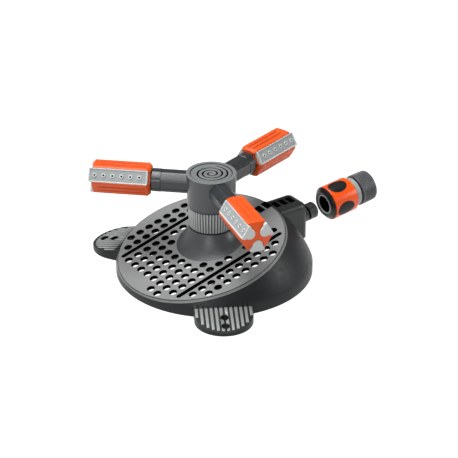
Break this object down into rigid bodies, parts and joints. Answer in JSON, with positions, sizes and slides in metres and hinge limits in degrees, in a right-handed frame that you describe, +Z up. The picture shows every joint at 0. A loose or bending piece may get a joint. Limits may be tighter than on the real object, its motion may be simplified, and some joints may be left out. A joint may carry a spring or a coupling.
{
  "type": "garden sprinkler",
  "caption": "Circular lawn sprinkler: sloping perforated base, ribbed peg ears, flow collar, spinning rotor with turnable nozzle heads, and a pulled-off quick hose connector.",
  "frame": {"origin": "on the rotor's spin axis at ground level, on the centre foot's lower face", "axes": "+Z up along the spin axis, +X towards the water inlet, +Y to its left"},
  "size_m": [0.2884, 0.232, 0.1067],
  "materials": {
    "dark_plastic": "fine-textured graphite grey moulding",
    "plate_plastic": "fine-textured grey moulding",
    "column_plastic": "satin dark grey moulding",
    "collar_plastic": "ribbed grey moulding",
    "orange_plastic": "satin orange moulding",
    "strip_plastic": "light grey soft moulding",
    "black_plastic": "black moulding",
    "seal_rubber": "black sealing rubber",
    "grip_rubber": "black soft-touch grip",
    "inner_plastic": "natural grey moulding",
    "nut_plastic": "knurled grey moulding",
    "clip_steel": "stainless spring clip"
  },
  "bodies": {
    "base": {"base_skirt": "dark_plastic", "perforated_plate": "plate_plastic", "inlet_housing": "dark_plastic", "inlet_channel": "inner_plastic", "inlet_nipple": "dark_plastic", "nipple_o_ring": "seal_rubber", "filter_screen": "inner_plastic", "water_elbow": "dark_plastic", "hub_cone": "dark_plastic", "riser_tube": "inner_plastic", "bearing_washer": "inner_plastic", "rotor_retainer": "inner_plastic", "ear_left": "dark_plastic", "ear_front": "dark_plastic", "rib_left": "dark_plastic", "rib_front": "dark_plastic"},
    "collar": {"flow_collar": "collar_plastic", "throttle_sleeve": "inner_plastic"},
    "rotor": {"rotor_head": "column_plastic", "rotor_seal": "seal_rubber", "spiral_cap": "column_plastic", "arm_tube_1": "column_plastic", "arm_o_ring_1": "seal_rubber", "arm_clip_1": "clip_steel", "arm_tube_2": "column_plastic", "arm_o_ring_2": "seal_rubber", "arm_clip_2": "clip_steel", "arm_tube_3": "column_plastic", "arm_o_ring_3": "seal_rubber", "arm_clip_3": "clip_steel"},
    "nozzle_1": {"nozzle_head_1": "orange_plastic", "nozzle_strip_1_1": "strip_plastic", "nozzle_strip_1_2": "strip_plastic", "nozzle_strip_1_3": "strip_plastic"},
    "nozzle_2": {"nozzle_head_2": "orange_plastic", "nozzle_strip_2_1": "strip_plastic", "nozzle_strip_2_2": "strip_plastic", "nozzle_strip_2_3": "strip_plastic"},
    "nozzle_3": {"nozzle_head_3": "orange_plastic", "nozzle_strip_3_1": "strip_plastic", "nozzle_strip_3_2": "strip_plastic", "nozzle_strip_3_3": "strip_plastic"},
    "connector": {"connector_core": "inner_plastic", "connector_claws": "inner_plastic", "connector_seal": "seal_rubber", "hose_barb": "inner_plastic"},
    "sleeve": {"release_sleeve": "orange_plastic", "connector_bezel": "black_plastic", "grip_pad_1": "grip_rubber", "grip_pad_2": "grip_rubber", "grip_pad_3": "grip_rubber", "grip_pad_4": "grip_rubber"},
    "union_nut": {"hose_nut": "nut_plastic"}
  },
  "joints": [
    {"name": "flow_collar_turn", "type": "hinge", "parent": "base", "child": "collar", "pos_m": [0, 0, 0.06], "axis": [0, 0, 1], "range_deg": [0, 90]},
    {"name": "rotor_spin", "type": "hinge", "parent": "base", "child": "rotor", "pos_m": [0, 0, 0.0925], "axis": [0, 0, 1], "continuous": true},
    {"name": "nozzle_1_turn", "type": "hinge", "parent": "rotor", "child": "nozzle_1", "pos_m": [-0.05069, 0.04827, 0.0925], "axis": [-0.7242, 0.6896, 0], "continuous": true},
    {"name": "nozzle_2_turn", "type": "hinge", "parent": "rotor", "child": "nozzle_2", "pos_m": [0.06715, 0.01976, 0.0925], "axis": [0.9593, 0.2823, 0], "continuous": true},
    {"name": "nozzle_3_turn", "type": "hinge", "parent": "rotor", "child": "nozzle_3", "pos_m": [-0.01646, -0.06804, 0.0925], "axis": [-0.2351, -0.972, 0], "continuous": true},
    {"name": "connector_slide", "type": "slide", "parent": "base", "child": "connector", "axis": [0.9945, 0, 0.1045], "range_m": [-0.027, 0]},
    {"name": "sleeve_release", "type": "slide", "parent": "connector", "child": "sleeve", "axis": [0.9945, 0, 0.1045], "range_m": [0, 0.003], "stiffness_N_per_m": 400, "springref_m": -0.004},
    {"name": "union_nut_turn", "type": "hinge", "parent": "connector", "child": "union_nut", "pos_m": [0.1828, 0, 0.03365], "axis": [0.9945, 0, 0.1045], "continuous": true}
  ]
}
